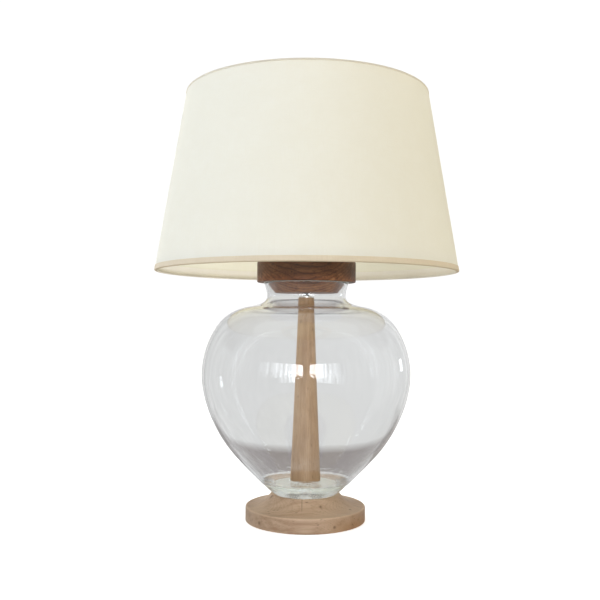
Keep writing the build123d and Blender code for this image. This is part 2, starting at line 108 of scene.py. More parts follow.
def smooth_curve(points, first, last, count):
    """Even points on a cubic spline through the given ones, with the tangents at its two ends."""
    knots = np.array(points, float)
    length = np.r_[0, np.cumsum(np.hypot(*np.diff(knots, axis=0).T))]
    size = len(knots)
    matrix, right = np.zeros((size, size)), np.zeros((size, 2))
    matrix[0, 0] = matrix[-1, -1] = 1
    right[0] = np.array(first) / np.hypot(*first)
    right[-1] = np.array(last) / np.hypot(*last)
    gap = np.diff(length)
    for row in range(1, size - 1):
        matrix[row, row - 1:row + 2] = gap[row], 2 * (gap[row - 1] + gap[row]), gap[row - 1]
        right[row] = 3 * (gap[row] / gap[row - 1] * (knots[row] - knots[row - 1])
                          + gap[row - 1] / gap[row] * (knots[row + 1] - knots[row]))
    slope = np.linalg.solve(matrix, right)
    at = np.linspace(0, length[-1], count)
    span = np.clip(np.searchsorted(length, at, side="right") - 1, 0, size - 2)
    u = ((at - length[span]) / gap[span])[:, None]
    step = gap[span][:, None]
    return ((2 * u ** 3 - 3 * u ** 2 + 1) * knots[span]
            + (u ** 3 - 2 * u ** 2 + u) * step * slope[span]
            + (3 * u ** 2 - 2 * u ** 3) * knots[span + 1]
            + (u ** 3 - u ** 2) * step * slope[span + 1])


def inset(curve, distance):
    """The same curve, moved towards the lamp's axis by distance along its normals."""
    along = np.gradient(np.array(curve), axis=0)
    along /= np.linalg.norm(along, axis=1)[:, None]
    return np.array(curve) + np.c_[-along[:, 1], along[:, 0]] * distance


def arc_between(start, finish, bulge, count=24):
    """Arc from start to finish through a point that stands bulge to the right of their middle."""
    a, b = np.array(start, float), np.array(finish, float)
    chord = b - a
    side = np.array([chord[1], -chord[0]]) / np.linalg.norm(chord)
    at = np.linspace(0, 1, count)[:, None]
    return a + chord * at + side * bulge * 4 * at * (1 - at)


# ---- meshes --------------------------------------------------------------------------------
def piece(name, vertices, faces, body, material, stands_for=(), slot=None, crease=radians(32)):
    """Mesh object with smooth faces and sharp creases that rides on a body."""
    mesh = bpy.data.meshes.new(name)
    mesh.from_pydata([tuple(v) for v in vertices], [], faces)
    mesh.validate()
    mesh.materials.append(material)
    mesh.polygons.foreach_set("use_smooth", [True] * len(mesh.polygons))
    mesh.update()
    mesh.set_sharp_from_angle(angle=crease)
    thing = bpy.data.objects.new(name, mesh)
    bpy.context.scene.collection.objects.link(thing)
    if body:
        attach(thing, body)
    if stands_for:
        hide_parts(*stands_for)
    return thing


def lathe(outline, around=AROUND, wobble=None):
    """Vertices and faces of a closed outline of (radius, height) turned about the lamp's axis."""
    vertices, rings = [], []
    for radius, height in outline:
        if radius < 1e-6:
            rings.append([len(vertices)] * around)
            vertices.append((0.0, 0.0, height))
            continue
        rings.append(list(range(len(vertices), len(vertices) + around)))
        for step in range(around):
            angle = 2 * pi * step / around
            r, z = (radius, height) if wobble is None else wobble(radius, height, angle)
            vertices.append((r * cos(angle), r * sin(angle), z))
    faces = []
    for lower, upper in zip(rings, rings[1:] + rings[:1]):
        for step in range(around):
            following = (step + 1) % around
            corners = [lower[step], lower[following], upper[following], upper[step]]
            corners = list(dict.fromkeys(corners))
            if len(corners) > 2:
                faces.append(corners)
    return vertices, faces


def dense(outline, longest):
    """The same closed outline with no side longer than longest, so that it can carry relief."""
    points = []
    for start, finish in zip(outline, list(outline[1:]) + [outline[0]]):
        start, finish = np.array(start, float), np.array(finish, float)
        pieces = max(1, ceil(np.linalg.norm(finish - start) / longest))
        points += [tuple(start + (finish - start) * number / pieces) for number in range(pieces)]
    return points


# ---- materials -----------------------------------------------------------------------------
def linear(red, green, blue):
    """Colour given as it looks on a screen, 0 to 255, as the linear colour that shaders take."""
    def one(value):
        value /= 255
        return value / 12.92 if value <= 0.04045 else ((value + 0.055) / 1.055) ** 2.4
    return one(red), one(green), one(blue), 1.0


class Nodes:
    """A node tree, with short calls for the nodes that it is built from."""

    def __init__(self, tree, coordinates):
        self.tree = tree
        self.where = self.node("ShaderNodeTexCoord").outputs[coordinates]

    def node(self, kind, **settings):
        made = self.tree.nodes.new(kind)
        for key, value in settings.items():
            setattr(made, key, value)
        return made

    def put(self, socket, value):
        """Link a socket or set a number, colour or vector."""
        if isinstance(value, bpy.types.NodeSocket):
            self.tree.links.new(value, socket)
        else:
            socket.default_value = value

    def math(self, operation, first, second=0.0, third=0.0, clamp=False):
        made = self.node("ShaderNodeMath", operation=operation, use_clamp=clamp)
        for socket, value in zip(made.inputs, (first, second, third)):
            self.put(socket, value)
        return made.outputs[0]

    def stretched(self, scale, turn=(0, 0, 0), place=(0, 0, 0)):
        """The tree's coordinates, turned, moved and scaled."""
        made = self.node("ShaderNodeMapping")
        self.put(made.inputs["Vector"], self.where)
        made.inputs["Location"].default_value = place
        made.inputs["Rotation"].default_value = turn
        made.inputs["Scale"].default_value = scale
        return made.outputs[0]

    def noise(self, vector, scale, detail=3.0, rough=0.55, warp=0.0):
        made = self.node("ShaderNodeTexNoise")
        self.put(made.inputs["Vector"], vector)
        made.inputs["Scale"].default_value = scale
        made.inputs["Detail"].default_value = detail
        made.inputs["Roughness"].default_value = rough
        made.inputs["Distortion"].default_value = warp
        return made.outputs["Fac"]

    def cells(self, vector, scale):
        """Distance from each cell's centre."""
        made = self.node("ShaderNodeTexVoronoi")
        self.put(made.inputs["Vector"], vector)
        made.inputs["Scale"].default_value = scale
        return made.outputs["Distance"]

    def ramp(self, factor, *stops):
        """Colour ramp; each stop is (place, colour)."""
        made = self.node("ShaderNodeValToRGB")
        self.put(made.inputs["Fac"], factor)
        elements = made.color_ramp.elements
        while len(elements) < len(stops):
            elements.new(0.5)
        for element, (place, colour) in zip(elements, stops):
            element.position = place
            element.color = colour
        return made.outputs["Color"]

    def mix(self, factor, first, second, blend="MIX"):
        made = self.node("ShaderNodeMix", data_type="RGBA", blend_type=blend)
        self.put(made.inputs[0], factor)
        self.put(made.inputs[6], first)
        self.put(made.inputs[7], second)
        return made.outputs[2]

    def range(self, value, low, high, to_low, to_high):
        made = self.node("ShaderNodeMapRange")
        for socket, number in zip(made.inputs, (value, low, high, to_low, to_high)):
            self.put(socket, number)
        return made.outputs[0]

    def bump(self, height, distance, strength=1.0, under=None):
        made = self.node("ShaderNodeBump")
        made.inputs["Strength"].default_value = strength
        made.inputs["Distance"].default_value = distance
        self.put(made.inputs["Height"], height)
        if under is not None:
            self.put(made.inputs["Normal"], under)
        return made.outputs["Normal"]

    def axes(self):
        """The x, y and z of the coordinates."""
        split = self.node("ShaderNodeSeparateXYZ")
        self.put(split.inputs[0], self.where)
        return list(split.outputs)

    def length(self, first, second):
        """Length of the flat vector that has these two sides."""
        squares = [self.math("MULTIPLY", side, side) for side in (first, second)]
        return self.math("SQRT", self.math("ADD", *squares))

    def polar(self):
        """Angle about the lamp's axis, distance from it, and height."""
        x, y, z = self.axes()
        return self.math("ARCTAN2", y, x), self.length(x, y), z

    def vector(self, x, y, z):
        made = self.node("ShaderNodeCombineXYZ")
        for socket, value in zip(made.inputs, (x, y, z)):
            self.put(socket, value)
        return made.outputs[0]

    def rays(self):
        """1 or 0 for each kind of ray that meets the surface."""
        return self.node("ShaderNodeLightPath").outputs

    def soft_rays(self):
        """1 for rays towards lamps and from matt surfaces, which need not bend, and 0 for what is seen."""
        kinds = self.rays()
        return self.math("MAXIMUM", kinds["Is Shadow Ray"], kinds["Is Diffuse Ray"])

    def clear(self, tint):
        """Shader that light passes straight through."""
        made = self.node("ShaderNodeBsdfTransparent")
        made.inputs["Color"].default_value = tint
        return made.outputs[0]

    def emission(self, colour, strength):
        """Shader that gives off light."""
        made = self.node("ShaderNodeEmission")
        self.put(made.inputs["Color"], colour)
        self.put(made.inputs["Strength"], strength)
        return made.outputs[0]

    def blend(self, factor, first, second):
        """Mix of two shaders."""
        made = self.node("ShaderNodeMixShader")
        for socket, value in zip(made.inputs, (factor, first, second)):
            self.put(socket, value)
        return made.outputs[0]


class Paint(Nodes):
    """One material: its node tree and its Principled shader."""

    def __init__(self, name):
        self.material = bpy.data.materials.new(name)
        self.material.use_nodes = True
        super().__init__(self.material.node_tree, "Object")
        self.shader = self.tree.nodes["Principled BSDF"]
        self.output = self.tree.nodes["Material Output"]

    def show(self, surface):
        """Use this shader as the surface."""
        self.put(self.output.inputs["Surface"], surface)

    def show_only(self, surface):
        """Use this shader as the surface, without the Principled one."""
        self.tree.nodes.remove(self.shader)
        self.show(surface)
        return self.material

    def finish(self, colour, roughness, normal=None, **constants):
        """Set the Principled shader: colour, roughness and normal may be nodes, the rest are constants."""
        self.put(self.shader.inputs["Base Color"], colour)
        self.put(self.shader.inputs["Roughness"], roughness)
        if normal is not None:
            self.put(self.shader.inputs["Normal"], normal)
        for key, value in constants.items():
            self.shader.inputs[key.replace("_", " ")].default_value = value
        return self.material


def darkened(colour, share):
    return tuple(channel * share for channel in colour[:3]) + (1.0,)


class Wood(Paint):
    """Wood cut from a solid, its grain along one axis, in three tones from dark to light."""

    def __init__(self, name, dark, middle, light, along):
        super().__init__(name)
        self.dark, self.middle, self.light = dark, middle, light
        self.deep = darkened(dark, 0.50)
        self.grain = "XYZ".index(along)
        self.xyz = self.axes()

    def squeezed(self, amount, place=(0, 0, 0)):
        """Coordinates shrunk along the grain, so that noise on them runs with it."""
        scale = [1.0, 1.0, 1.0]
        scale[self.grain] = amount
        return self.stretched(tuple(scale), place=place)

    def late_wood(self, pith, ring):
        """How dark each growth ring is about the pith, from its early wood up to its late wood."""
        across = [value for axis, value in enumerate(self.xyz) if axis != self.grain]
        from_pith = self.length(*[self.math("SUBTRACT", value, at) for value, at in zip(across, pith)])
        sway = self.range(self.noise(self.squeezed(0.35), 16, 2, 0.5), 0.0, 1.0, -3.0 * ring, 3.0 * ring)
        phase = self.math("MULTIPLY", self.math("ADD", from_pith, sway), 1 / ring)
        spacing = self.range(self.noise(self.squeezed(0.1), 7, 1), 0.3, 0.7, 0.8, 1.25)
        return self.math("MULTIPLY", self.math("POWER", self.math("FRACT", phase), 3.0), spacing)

    def tone(self, lightest):
        """Soft bands and clouds of the three tones."""
        bands = self.math("MULTIPLY", self.noise(self.squeezed(0.06), 130, 3, 0.6), 0.5)
        cloud = self.math("MULTIPLY", self.noise(self.squeezed(0.4), 13, 3, 0.5), 0.5)
        stops = (0.36, self.dark), (0.50, self.middle), (0.63, lightest)
        return self.mix(0.45, self.ramp(self.math("ADD", bands, cloud), *stops), self.middle)

    def flecks(self, colour, share):
        """Short dark ray flecks, in drifts."""
        drifts = (230, share, (0.013, 0.007, 0.021)), (420, share * 0.8, (0.05, 0.02, 0.033))
        for size, strength, place in drifts:
            dashes = self.range(self.cells(self.squeezed(0.25, place), size), 0.08, 0.20, 1.0, 0.0)
            drift = self.range(self.noise(self.where, 55, 2), 0.45, 0.58, 0.0, strength)
            colour = self.mix(self.math("MULTIPLY", dashes, drift), colour, self.deep)
        return colour

    def knot(self, colour, place, size):
        """Small ragged knot, (x, y, z) and size in metres."""
        apart = self.node("ShaderNodeVectorMath", operation="DISTANCE")
        self.put(apart.inputs[0], self.where)
        apart.inputs[1].default_value = place
        ragged = self.range(self.noise(self.where, 320, 3), 0, 1, -0.45 * size, 0.45 * size)
        away = self.math("ADD", apart.outputs["Value"], ragged)
        return self.mix(self.range(away, 0.25 * size, size, 0.70, 0.0), colour, self.deep)

    def check(self, colour, line_x, near, far):
        """Fine drying check at one x, between two y."""
        x, y, _ = self.xyz
        off = self.math("ABSOLUTE", self.math("SUBTRACT", x, line_x))
        wander = self.range(self.noise(self.where, 120, 2), 0, 1, -0.3 * MM, 0.3 * MM)
        thin = self.range(self.math("ADD", off, wander), 0.15 * MM, 0.75 * MM, 0.75, 0.0)
        starts = self.range(y, near, near + 5 * MM, 0.0, 1.0)
        ends = self.range(y, far - 5 * MM, far, 1.0, 0.0)
        return self.mix(self.math("MULTIPLY", thin, self.math("MULTIPLY", starts, ends)), colour, self.deep)

    def painted_warm_shade(self, colour, from_x, to_x):
        """Painted warm shade: wood redder and darker towards +X, low down, where less and warmer light
        falls.
        """
        aside = self.range(self.xyz[0], from_x, to_x, 0.0, 1.0)
        low_down = self.range(self.xyz[2], 8 * MM, 27 * MM, 1.0, 0.0)
        return self.mix(self.math("MULTIPLY", aside, low_down), colour, WARM_SHADE_TINT, "MULTIPLY")

    def painted_edge_highlight(self, colour, edge_r, edge_z):
        """Painted highlight: a paler line along a turned edge, where light catches its rounding."""
        _, radius, z = self.polar()
        away = self.length(self.math("SUBTRACT", radius, edge_r), self.math("SUBTRACT", z, edge_z))
        pale = tuple(min(1.0, channel * 1.25) for channel in self.light[:3]) + (1.0,)
        return self.mix(self.range(away, 0.7 * MM, 2.4 * MM, 0.35, 0.0), colour, pale)

    def relief(self, fibre, late):
        """Raised fibres, and the faint rings that turning leaves."""
        height = self.math("ADD", self.math("MULTIPLY", fibre, 0.6), self.math("MULTIPLY", late, -0.5))
        _, radius, z = self.polar()
        feed = 2 * pi / (1.1 * MM)
        tooled = self.math("SINE", self.math("MULTIPLY", self.math("ADD", radius, z), feed))
        return self.bump(tooled, 0.01 * MM, 0.35, self.bump(height, 0.10 * MM, 0.5))


def wood(name, tones, along, pith, ring=2.0 * MM, fleck=0.45, contrast=1.0, knots=(), checks=(),
         lit_below=None, highlight_edge=None, warm_shade_side=None):
    """Steamed beech: growth rings about a far pith, fibres, flecks and flaws along the grain. Wood below
    the given height is painted lighter, as painted light; the given turned edge, (radius, height), gets a
    painted highlight along it; and the given side is painted redder and darker, as painted warm shade."""
    made = Wood(name, *tones, along)
    middle, light = made.middle, made.light
    fibre = made.noise(made.squeezed(0.03), 1100, 2, 0.6)
    late = made.late_wood(pith, ring)
    lightest = tuple((a + b) / 2 for a, b in zip(middle, light)) if lit_below else light
    colour = made.tone(lightest)
    colour = made.mix(made.range(late, 0.15, 1.1, 0.0, 0.30 * contrast), colour, made.dark)
    colour = made.mix(made.range(fibre, 0.50, 0.72, 0.0, 0.35 * contrast), colour, made.dark)
    colour = made.flecks(colour, fleck)
    for place, size in knots:
        colour = made.knot(colour, place, size)
    for line in checks:
        colour = made.check(colour, *line)
    # Painted light: lighter wood below the given height, where light reaches it through the glass while the
    # wood above lies in the shade's shadow.
    if lit_below:
        pale = made.range(made.xyz[2], lit_below - 4 * MM, lit_below + 14 * MM, 0.75, 0.0)
        colour = made.mix(pale, colour, LIT_TINT, "MULTIPLY")
    # Painted warm shade: redder, darker wood on one side.
    if warm_shade_side:
        colour = made.painted_warm_shade(colour, *warm_shade_side)
    # Painted highlight along the rounded edge.
    if highlight_edge:
        colour = made.painted_edge_highlight(colour, *highlight_edge)
    rough = made.range(made.noise(made.squeezed(0.08), 120, 2), 0.3, 0.7, 0.42, 0.58)
    return made.finish(colour, rough, made.relief(fibre, late), Specular_IOR_Level=0.38)


def ground_surface(paint, glass, frost):
    """The glass shader covered, for the frost share, by a white ground surface. It glows a little, for
    the light that thick glass gathers, and more under the stem, whose shadow would show there."""
    shaded_r, lit_r, strong, weak = 20 * MM, 30 * MM, 0.36, 0.12
    matt = paint.node("ShaderNodeBsdfDiffuse")
    streaks = paint.noise(paint.stretched((0.3, 1.0, 1.0)), 160, 3, 0.6)
    paint.put(matt.inputs["Color"], paint.mix(streaks, linear(236, 236, 230), linear(250, 250, 247)))
    gathered = paint.range(paint.polar()[1], shaded_r, lit_r, strong, weak)
    both = paint.node("ShaderNodeAddShader")
    paint.put(both.inputs[0], matt.outputs[0])
    paint.put(both.inputs[1], paint.emission(WHITE, gathered))
    return paint.blend(frost, glass, both.outputs[0])


def clear_glass(name, tint, shade_tint, ior=1.46, rough=0.0, frost=0.0, cords=0.0, green=0.0):
    """Clear glass; rays from lamps and from matt surfaces pass straight through, a little tinted.
    frost is the share of white ground surface, cords the depth of the moulded ripples low in the
    vase, and green how strongly the glass itself absorbs."""
    paint = Paint(name)
    ripple = paint.noise(paint.where, 14, 1, 0.4)
    normal = paint.bump(ripple, 0.25 * MM, 0.5)
    if cords:
        low_down = paint.range(paint.polar()[2], 64 * MM, 80 * MM, 1.0, 0.0)
        lumps = paint.noise(paint.stretched((1.0, 1.0, 2.2)), 95, 2, 0.6, 0.6)
        normal = paint.bump(paint.math("MULTIPLY", lumps, low_down), cords, 1.0, normal)
    colour = paint.mix(paint.noise(paint.where, 6, 1), tint, darkened(tint, 0.995))
    paint.finish(colour, rough, normal, Transmission_Weight=1.0, IOR=ior)
    seen = paint.shader.outputs[0]
    if frost:
        seen = ground_surface(paint, seen, frost)
    paint.show(paint.blend(paint.soft_rays(), seen, paint.clear(shade_tint)))
    if green:
        inside = paint.node("ShaderNodeVolumeAbsorption")
        inside.inputs["Color"].default_value = (0.60, 0.94, 0.90, 1)
        inside.inputs["Density"].default_value = green
        paint.put(paint.output.inputs["Volume"], inside.outputs[0])
    return paint.material


def woven(paint, colour, faint, threads):
    """Tone and height of a plain weave round the shade, with slubs both ways and soft mottling."""
    angle, radius, z = paint.polar()
    threads_round = round(2 * pi * SHADE_FOOT[0] / threads)
    warp = paint.math("SINE", paint.math("MULTIPLY", angle, float(threads_round)))
    weft = paint.math("SINE", paint.math("MULTIPLY", z, 2 * pi / threads))
    weave = paint.math("MULTIPLY", warp, weft)
    mottle = paint.noise(paint.where, 34, 5, 0.65)
    round_it = paint.vector(paint.math("MULTIPLY", angle, 1.5), radius, paint.math("MULTIPLY", z, 60.0))
    up_it = paint.vector(paint.math("MULTIPLY", angle, 14.0), radius, paint.math("MULTIPLY", z, 5.0))
    slub = paint.math("MAXIMUM", paint.noise(round_it, 12, 3), paint.noise(up_it, 10, 3))
    tone = paint.mix(paint.range(mottle, 0.35, 0.65, 0.25, 0.75), faint, colour)
    tone = paint.mix(paint.range(slub, 0.50, 0.68, 0.0, 0.8), tone, faint)
    tone = paint.mix(paint.range(weave, -1.0, 1.0, 0.15, 0.0), tone, faint)
    return tone, paint.math("ADD", weave, paint.math("MULTIPLY", slub, 2.0)), mottle


def cloth(name, colours, threads, relief, translucent, passes, rough=0.82, sheen=0.15):
    """Shade cloth in two close colours. translucent is the share of light that a layer takes from behind,
    and passes the share of soft light that each face lets straight through."""
    paint = Paint(name)
    tone, height, mottle = woven(paint, *colours, threads)
    normal = paint.bump(height, relief, 0.6)
    paint.finish(tone, paint.range(mottle, 0.3, 0.7, rough - 0.05, rough + 0.05), normal,
                 Specular_IOR_Level=0.2, Sheen_Weight=sheen, Sheen_Roughness=0.5)
    back = paint.node("ShaderNodeBsdfTranslucent")
    paint.put(back.inputs["Color"], tone)
    paint.put(back.inputs["Normal"], normal)
    surface = paint.blend(translucent, paint.shader.outputs[0], back.outputs[0])
    share = paint.math("MAXIMUM", paint.math("MULTIPLY", paint.soft_rays(), passes),
                       paint.math("MULTIPLY", paint.rays()["Is Glossy Ray"], MISSED_IN_MIRROR))
    paint.show(paint.blend(share, surface, paint.clear((1.0, 0.99, 0.97, 1))))
    return paint.material


def metal(name, colour, worn, rough):
    """Bright metal with fine scratches and duller, darker patches."""
    paint = Paint(name)
    patch = paint.noise(paint.where, 70, 3, 0.6)
    scratch = paint.noise(paint.stretched((1.0, 0.08, 0.6), turn=(0.3, 0.5, 0.9)), 1500, 2, 0.7)
    tone = paint.mix(paint.range(patch, 0.40, 0.68, 0.0, 1.0), colour, worn)
    gloss = paint.math("ADD", paint.range(patch, 0.3, 0.7, rough * 0.75, rough * 1.35),
                       paint.range(scratch, 0.55, 0.75, 0.0, 0.075), clamp=True)
    normal = paint.bump(scratch, 0.01 * MM, 0.25)
    return paint.finish(tone, gloss, normal, Metallic=1.0)


def plastic(name, colour, worn, rough, grain=420, relief=0.02 * MM, **constants):
    """Moulded or painted surface: fine texture, soft tone changes and smoother patches."""
    paint = Paint(name)
    fine = paint.noise(paint.where, grain * 6, 2, 0.5)
    patch = paint.noise(paint.where, 60, 3, 0.6)
    tone = paint.mix(paint.range(patch, 0.38, 0.66, 0.0, 1.0), colour, worn)
    gloss = paint.range(patch, 0.3, 0.7, rough * 0.8, rough * 1.2)
    return paint.finish(tone, gloss, paint.bump(fine, relief, 0.4), **constants)


BEECH = linear(150, 110, 80), linear(206, 175, 147), linear(219, 191, 164)
STEM_BEECH = linear(142, 105, 73), linear(188, 154, 121), linear(200, 169, 138)
# Darker tones for the cap's wood than for the foot's and the stem's.
CAP_WOOD = linear(36, 17, 9), linear(94, 58, 35), linear(176, 128, 92)
FOOT_KNOTS = [
    ((-0.0550, -0.0200, 0.0417), 4 * MM), ((0.0240, -0.0610, 0.0352), 3.4 * MM),
    ((0.0455, -0.0874, 0.0100), 3.5 * MM), ((-0.0720, -0.0672, 0.0105), 4 * MM),
    ((0.0720, -0.0410, 0.0265), 3 * MM)]
STEM_KNOTS = [((-0.0080, -0.0140, 0.3150), 1.6 * MM), ((-0.0130, -0.0150, 0.2040), 2.2 * MM)]
FRONT_CHECK = (-5.2 * MM, -75 * MM, -18 * MM)
EDGE_R, LIP_Z = BASE_HIGH.x, 25 * MM              # the foot's vertical edge: its radius and its top

# The foot's top edge gets a painted highlight, and its right side, low down, painted warm shade.
beech_foot = wood(
    "beech_foot", BEECH, "X", (0.03, -0.11), fleck=0.85, contrast=0.7, knots=FOOT_KNOTS,
    checks=[FRONT_CHECK], highlight_edge=(EDGE_R - 0.8 * MM, LIP_Z - 0.6 * MM), warm_shade_side=(20 * MM, 80 * MM))
beech_stem = wood("beech_stem", STEM_BEECH, "Z", (0.05, -0.07), fleck=0.85, knots=STEM_KNOTS)
# The cap's wood below the vase's rim, its plug, is painted lighter: painted light through the glass.
cap_wood = wood("dark_cap_beech", CAP_WOOD, "X", (0.03, 0.33), 5.5 * MM, fleck=0.4, contrast=3.1,
                lit_below=VASE_HIGH.z)

vase_glass = clear_glass("vase_glass", linear(254, 254.5, 254.5), linear(252, 253, 252),
                         cords=1.0 * MM, green=1.6)
ground_glass = clear_glass("ground_glass", linear(250, 251, 250), linear(250, 251, 250),
                           rough=0.45, frost=0.88)
bulb_glass = clear_glass("bulb_glass", linear(254, 254, 254), linear(253, 253, 252))

COTTON = linear(250, 247, 236), linear(247, 243, 230)
LINING = linear(250, 247, 230), linear(246, 242, 224)
TAPE = linear(238, 223, 197), linear(230, 213, 186)
# The tape's inner leg is painted paler than its outer leg: painted light, for the glow through the shade.
LIT_TAPE_BACK = linear(254, 251, 244), linear(250, 245, 235)

fabric = cloth("shade_cotton", COTTON, 0.9 * MM, 0.04 * MM, 0.25, 0.93)
lining = cloth("shade_lining", LINING, 0.7 * MM, 0.02 * MM, 0.60, 0.25, rough=0.7, sheen=0.0)
lining_back = cloth("lining_back", LINING, 0.7 * MM, 0.02 * MM, 0.50, 0.95)
tape = cloth("shade_tape", TAPE, 1.2 * MM, 0.10 * MM, 0.15, 0.90)
tape_inside = cloth("tape_inside", LIT_TAPE_BACK, 1.2 * MM, 0.06 * MM, 0.60, 0.5)


# ---- turned wood ---------------------------------------------------------------------------
def hollow_top(start, end, steps=30):
    """Points inside an arc that leaves start level and rises to end."""
    across, up = start[0] - end[0], end[1] - start[1]
    radius = (across ** 2 + up ** 2) / (2 * up)
    gone = [across * number / steps for number in range(1, steps)]
    return [(start[0] - x, start[1] + radius - (radius ** 2 - x ** 2) ** 0.5) for x in gone]


def wood_foot():
    low, top = BASE_LOW.z, BASE_HIGH.z
    seat_r, seat_edge = 57 * MM, 0.8 * MM
    recess_r, recess_z = 20 * MM, 16 * MM
    cove = hollow_top((EDGE_R - 2.6 * MM, LIP_Z - 0.1 * MM), (seat_r, top - seat_edge))
    rim = rounded([(BORE_R, low), (EDGE_R, low, 1.0 * MM), (EDGE_R, LIP_Z, 2.4 * MM), (seat_r, LIP_Z)])
    outline = [
        (BORE_R, recess_z), (recess_r, recess_z), (recess_r, low), *rim[1:-1], *cove,
        (seat_r, top - seat_edge), (seat_r - 0.3 * MM, top - 0.25 * MM), (seat_r - 0.9 * MM, top),
        (GASKET_R, top), (GASKET_R, top - GASKET_T), (BORE_R, top - GASKET_T)]
    return piece("foot", *lathe(dense(outline, 6 * MM)), "base", beech_foot, ["base_disc"], "beech")


def wood_stem():
    low, high = STEM_LOW.z, STEM_HIGH.z
    foot_r, middle_r, head_r = STEM_HIGH.x, 18.5 * MM, 13 * MM
    edge = 0.8 * MM
    bulge = middle_r - (foot_r + head_r) / 2
    side = arc_between((foot_r, low + edge), (head_r, high - edge), bulge, 40)
    outline = [
        (BORE_R, low), (foot_r - edge, low), (foot_r - 0.25 * edge, low + 0.3 * edge),
        *map(tuple, side), (head_r - 0.3 * edge, high - 0.3 * edge), (head_r - edge, high),
        (BORE_R, high)]
    return piece("stem_wood", *lathe(outline, 128), "base", beech_stem, ["stem"], "beech")


def wood_cap():
    low, high, edge_r = VASE_HIGH.z + 0.6 * MM, CAP_HIGH.z, CAP_HIGH.x
    plug_low_r, plug_high_r = 52 * MM, 66 * MM
    outline = rounded([
        (BORE_R, CAP_LOW.z), (plug_low_r, CAP_LOW.z, 1.5 * MM), (plug_high_r, low),
        (edge_r, low, 1.6 * MM), (edge_r, high, 2.6 * MM), (BORE_R, high)])
    return piece("neck_wood", *lathe(dense(outline, 5 * MM)), "base", cap_wood, ["neck_cap"], "cap_wood")


wood_foot()
wood_stem()
wood_cap()


# ---- glass vase ----------------------------------------------------------------------------
WALL = 4.0 * MM
NECK_WALL = 3.6 * MM
FLOOR_Z = 66.0 * MM          # top of the thick bottom
VASE_HOLE_R = 7.0 * MM
PUNT = 1.2 * MM              # hollow under the vase's thick bottom
FOOT_R = 51.7                # radii and heights of the vase's outer curve, in millimetres
SHOULDER = (100.0, 350.3)
BELLY = [(FOOT_R, 44.3), (92.3, 81.9), (127.5, 121.0), (155.9, 169.5), (171.9, 236.5), (160.5, 296.0),
         (132.4, 335.2), SHOULDER]
NECK = [SHOULDER, (79.0, 355.2), (67.0, 363.0), (65.4, 371.5), (70.0, 391.2)]
SHOULDER_SLOPE = (-1.0, 0.22)


def vase_walls():
    """Outer and inner curve of the blown wall, from the foot up to the rim."""
    belly = smooth_curve(BELLY, (1.3, 1.0), SHOULDER_SLOPE, 150) * MM
    neck = smooth_curve(NECK, SHOULDER_SLOPE, (0.2, 1.0), 46) * MM
    outer = np.vstack([belly, neck[1:]])
    thinning = np.linspace(WALL, NECK_WALL, 12)
    steady = len(neck) - 1 - len(thinning)
    thickness = np.r_[np.full(len(belly), WALL), thinning, np.full(steady, NECK_WALL)]
    return outer, inset(outer, thickness[:, None])


def vase_outline(outer, inner):
    """Closed outline: hollow underside, rounded foot, wall, rounded mouth, and the floor inside."""
    seat, rim_z = VASE_LOW.z, VASE_HIGH.z
    foot_r, foot_round, floor_round, rim_round = FOOT_R * MM, 6 * MM, 9 * MM, 1.5 * MM
    ground_r = 40 * MM
    join = 0.6 * MM
    inner = inner[inner[:, 1] > FLOOR_Z + 5.2 * MM]
    outer = outer[outer[:, 1] > seat + foot_round * 0.75]
    foot = rounded([(ground_r, seat), (foot_r, seat, foot_round), tuple(outer[3])], radians(8))[1:-1]
    foot = [(radius, height + 0.05 * MM) for radius, height in foot]
    outer = outer[outer[:, 1] > foot[-1][1] + join]
    corner_r = inner[0][0] - 5.6 * MM
    bottom = rounded([(VASE_HOLE_R, FLOOR_Z), (corner_r, FLOOR_Z, floor_round), tuple(inner[4])],
                     radians(8))[1:-1]
    inner = inner[inner[:, 1] > bottom[-1][1] + join]
    mouth = rounded([tuple(outer[-4]), (outer[-1][0], rim_z, rim_round),
                     (inner[-1][0], rim_z, rim_round), tuple(inner[-4])], radians(18))[1:-1]
    outer = outer[outer[:, 1] < rim_z - 2.2 * MM]
    inner = inner[inner[:, 1] < rim_z - 2.2 * MM]
    hollow = [(VASE_HOLE_R, seat + PUNT), (20 * MM, seat + PUNT), (ground_r, seat + 0.25 * PUNT)]
    return [*hollow, *foot, *map(tuple, outer), *mouth, *map(tuple, inner[::-1]),
            *bottom[::-1], (VASE_HOLE_R, FLOOR_Z)]


def vase():
    shape = lathe(vase_outline(*vase_walls()), 288)
    made = piece("vase", *shape, "base", vase_glass, ["glass_vase"], "vase_glass", radians(50))
    made.data.materials.append(ground_glass)
    for face in made.data.polygons:
        underneath = face.center.z < VASE_LOW.z + 1.1 * PUNT and face.normal.z < -0.9
        if underneath or hypot(face.center.x, face.center.y) < VASE_HOLE_R + 0.1 * MM:
            face.material_index = 1


vase()


# ---- shade ---------------------------------------------------------------------------------
TRIM_T = 0.6 * MM
FABRIC_T = 0.8 * MM
LINER_T = 0.6 * MM
RING_WIRE_R = 1.45 * MM
LINER_DEPTH = TRIM_T + FABRIC_T
WIRE_DEPTH = LINER_DEPTH + LINER_T
BOTTOM_TAPE = 8.0 * MM
TOP_TAPE = 3.4 * MM
TAPE_INSIDE = 16.5 * MM
SEAM_WIDTH = 12 * MM


def wall_point(depth, up):
    """(radius, height) that far inwards from the shade's outer face and up its wall."""
    return (SHADE_FOOT[0] - up * sin(SHADE_TAPER) - depth * cos(SHADE_TAPER),
            SHADE_FOOT[1] + up * cos(SHADE_TAPER) - depth * sin(SHADE_TAPER))


def from_head(depth, down):
    return wall_point(depth, SHADE_SLANT - down)


def uneven(amount, size, seed):
    """Small seamless unevenness of a stretched fabric."""
    def moved(radius, height, angle):
        where = Vector((cos(angle) / size, sin(angle) / size, height / (0.22 * size) + seed))
        return radius + amount * field.noise(where), height
    return moved


